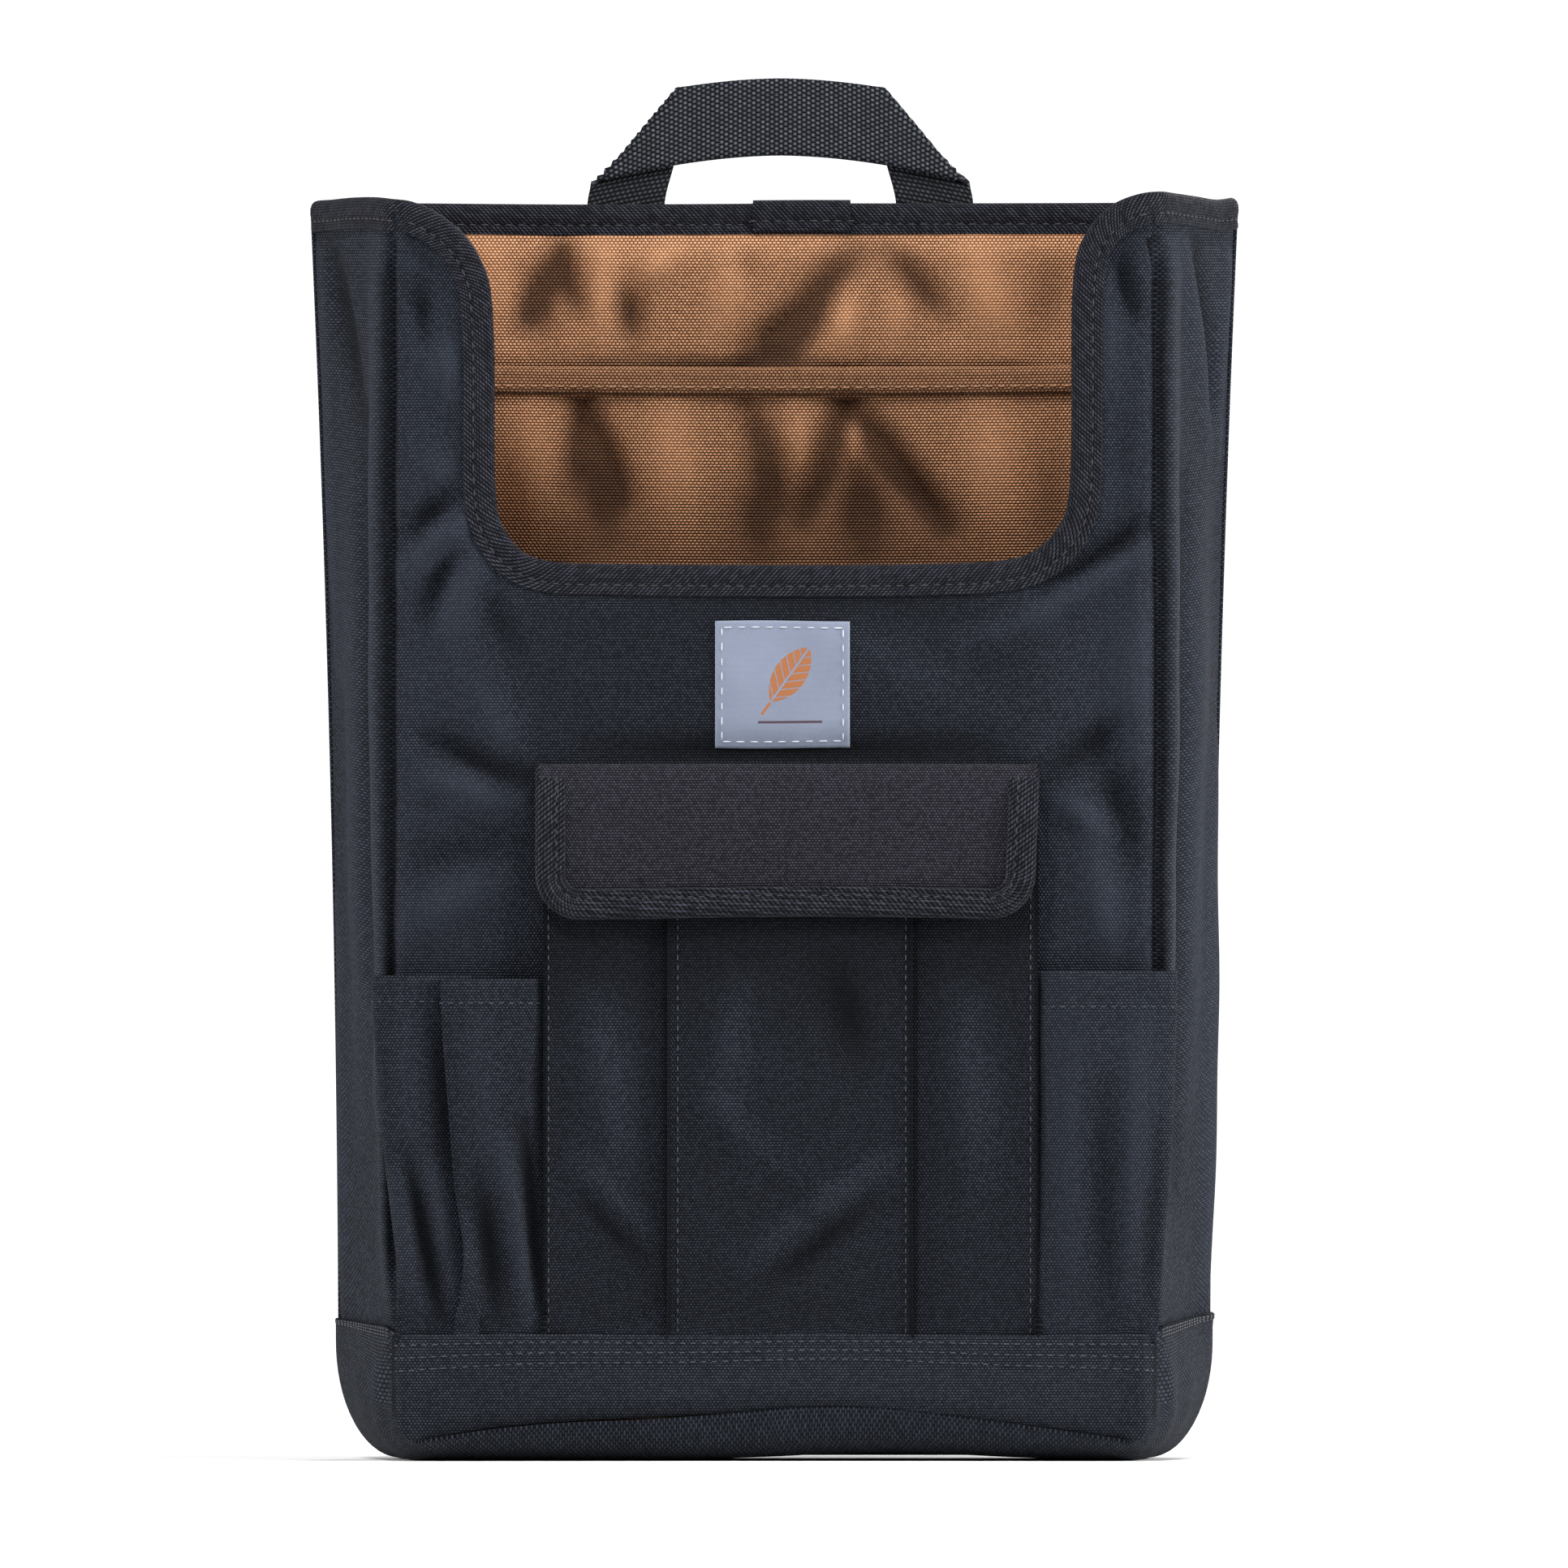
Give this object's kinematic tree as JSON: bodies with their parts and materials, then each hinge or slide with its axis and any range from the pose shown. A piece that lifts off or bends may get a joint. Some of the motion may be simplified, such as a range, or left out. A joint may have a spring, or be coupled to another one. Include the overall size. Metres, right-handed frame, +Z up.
{
  "type": "garden tool bag",
  "caption": "Upright lined cloth tote with a low front mouth, a flapped cargo pocket, slip pockets and a webbing carry handle, for hand tools.",
  "frame": {"origin": "on the floor under the middle of the whole bag's box", "axes": "+Z up along the bag's height, +Y from the low front mouth towards the high back, +X to the right seen from the front"},
  "size_m": [0.3018, 0.0964, 0.452],
  "materials": {
    "shell_fabric": "heavy charcoal-navy woven cloth, matt",
    "band_fabric": "heavy woven foot band, matt",
    "lining_fabric": "tan woven lining, slight sheen",
    "binding_tape": "ribbed binding tape, matt",
    "webbing": "thick woven webbing, slight sheen",
    "closure_tape": "hook and loop tape",
    "label_cloth": "pale grey-blue woven label",
    "board": "plain board"
  },
  "bodies": {
    "bag": {"back_panel": "shell_fabric", "front_panel": "shell_fabric", "left_gusset": "shell_fabric", "right_gusset": "shell_fabric", "base_panel": "shell_fabric", "back_lining": "lining_fabric", "front_lining": "lining_fabric", "left_gusset_lining": "lining_fabric", "right_gusset_lining": "lining_fabric", "base_lining": "lining_fabric", "base_board": "board", "inner_pocket": "lining_fabric", "foot_band_front": "band_fabric", "foot_band_back": "band_fabric", "foot_band_left": "band_fabric", "foot_band_right": "band_fabric", "foot_band_base": "band_fabric", "rim_binding_front": "binding_tape", "rim_binding_back": "binding_tape", "rim_binding_left": "binding_tape", "rim_binding_right": "binding_tape", "rim_binding_lap": "binding_tape", "handle_anchor_left": "webbing", "handle_anchor_right": "webbing", "cargo_pocket": "shell_fabric", "pocket_loop_tape": "closure_tape", "flap_seam": "shell_fabric", "slip_pocket_left_outer": "shell_fabric", "slip_pocket_left_inner": "shell_fabric", "slip_pocket_right": "shell_fabric", "label": "label_cloth"},
    "handle": {"handle_loop": "webbing"},
    "flap": {"flap": "shell_fabric", "flap_binding": "binding_tape", "flap_hook_tape": "closure_tape"}
  },
  "joints": [
    {"name": "handle_swing", "type": "hinge", "parent": "bag", "child": "handle", "pos_m": [0.0019, 0.0472, 0.4123], "axis": [1, 0, 0], "range_deg": [-90, 90]},
    {"name": "flap_hinge", "type": "hinge", "parent": "bag", "child": "flap", "pos_m": [0.0044, -0.0387, 0.227], "axis": [-1, 0, 0], "range_deg": [0, 150]}
  ]
}
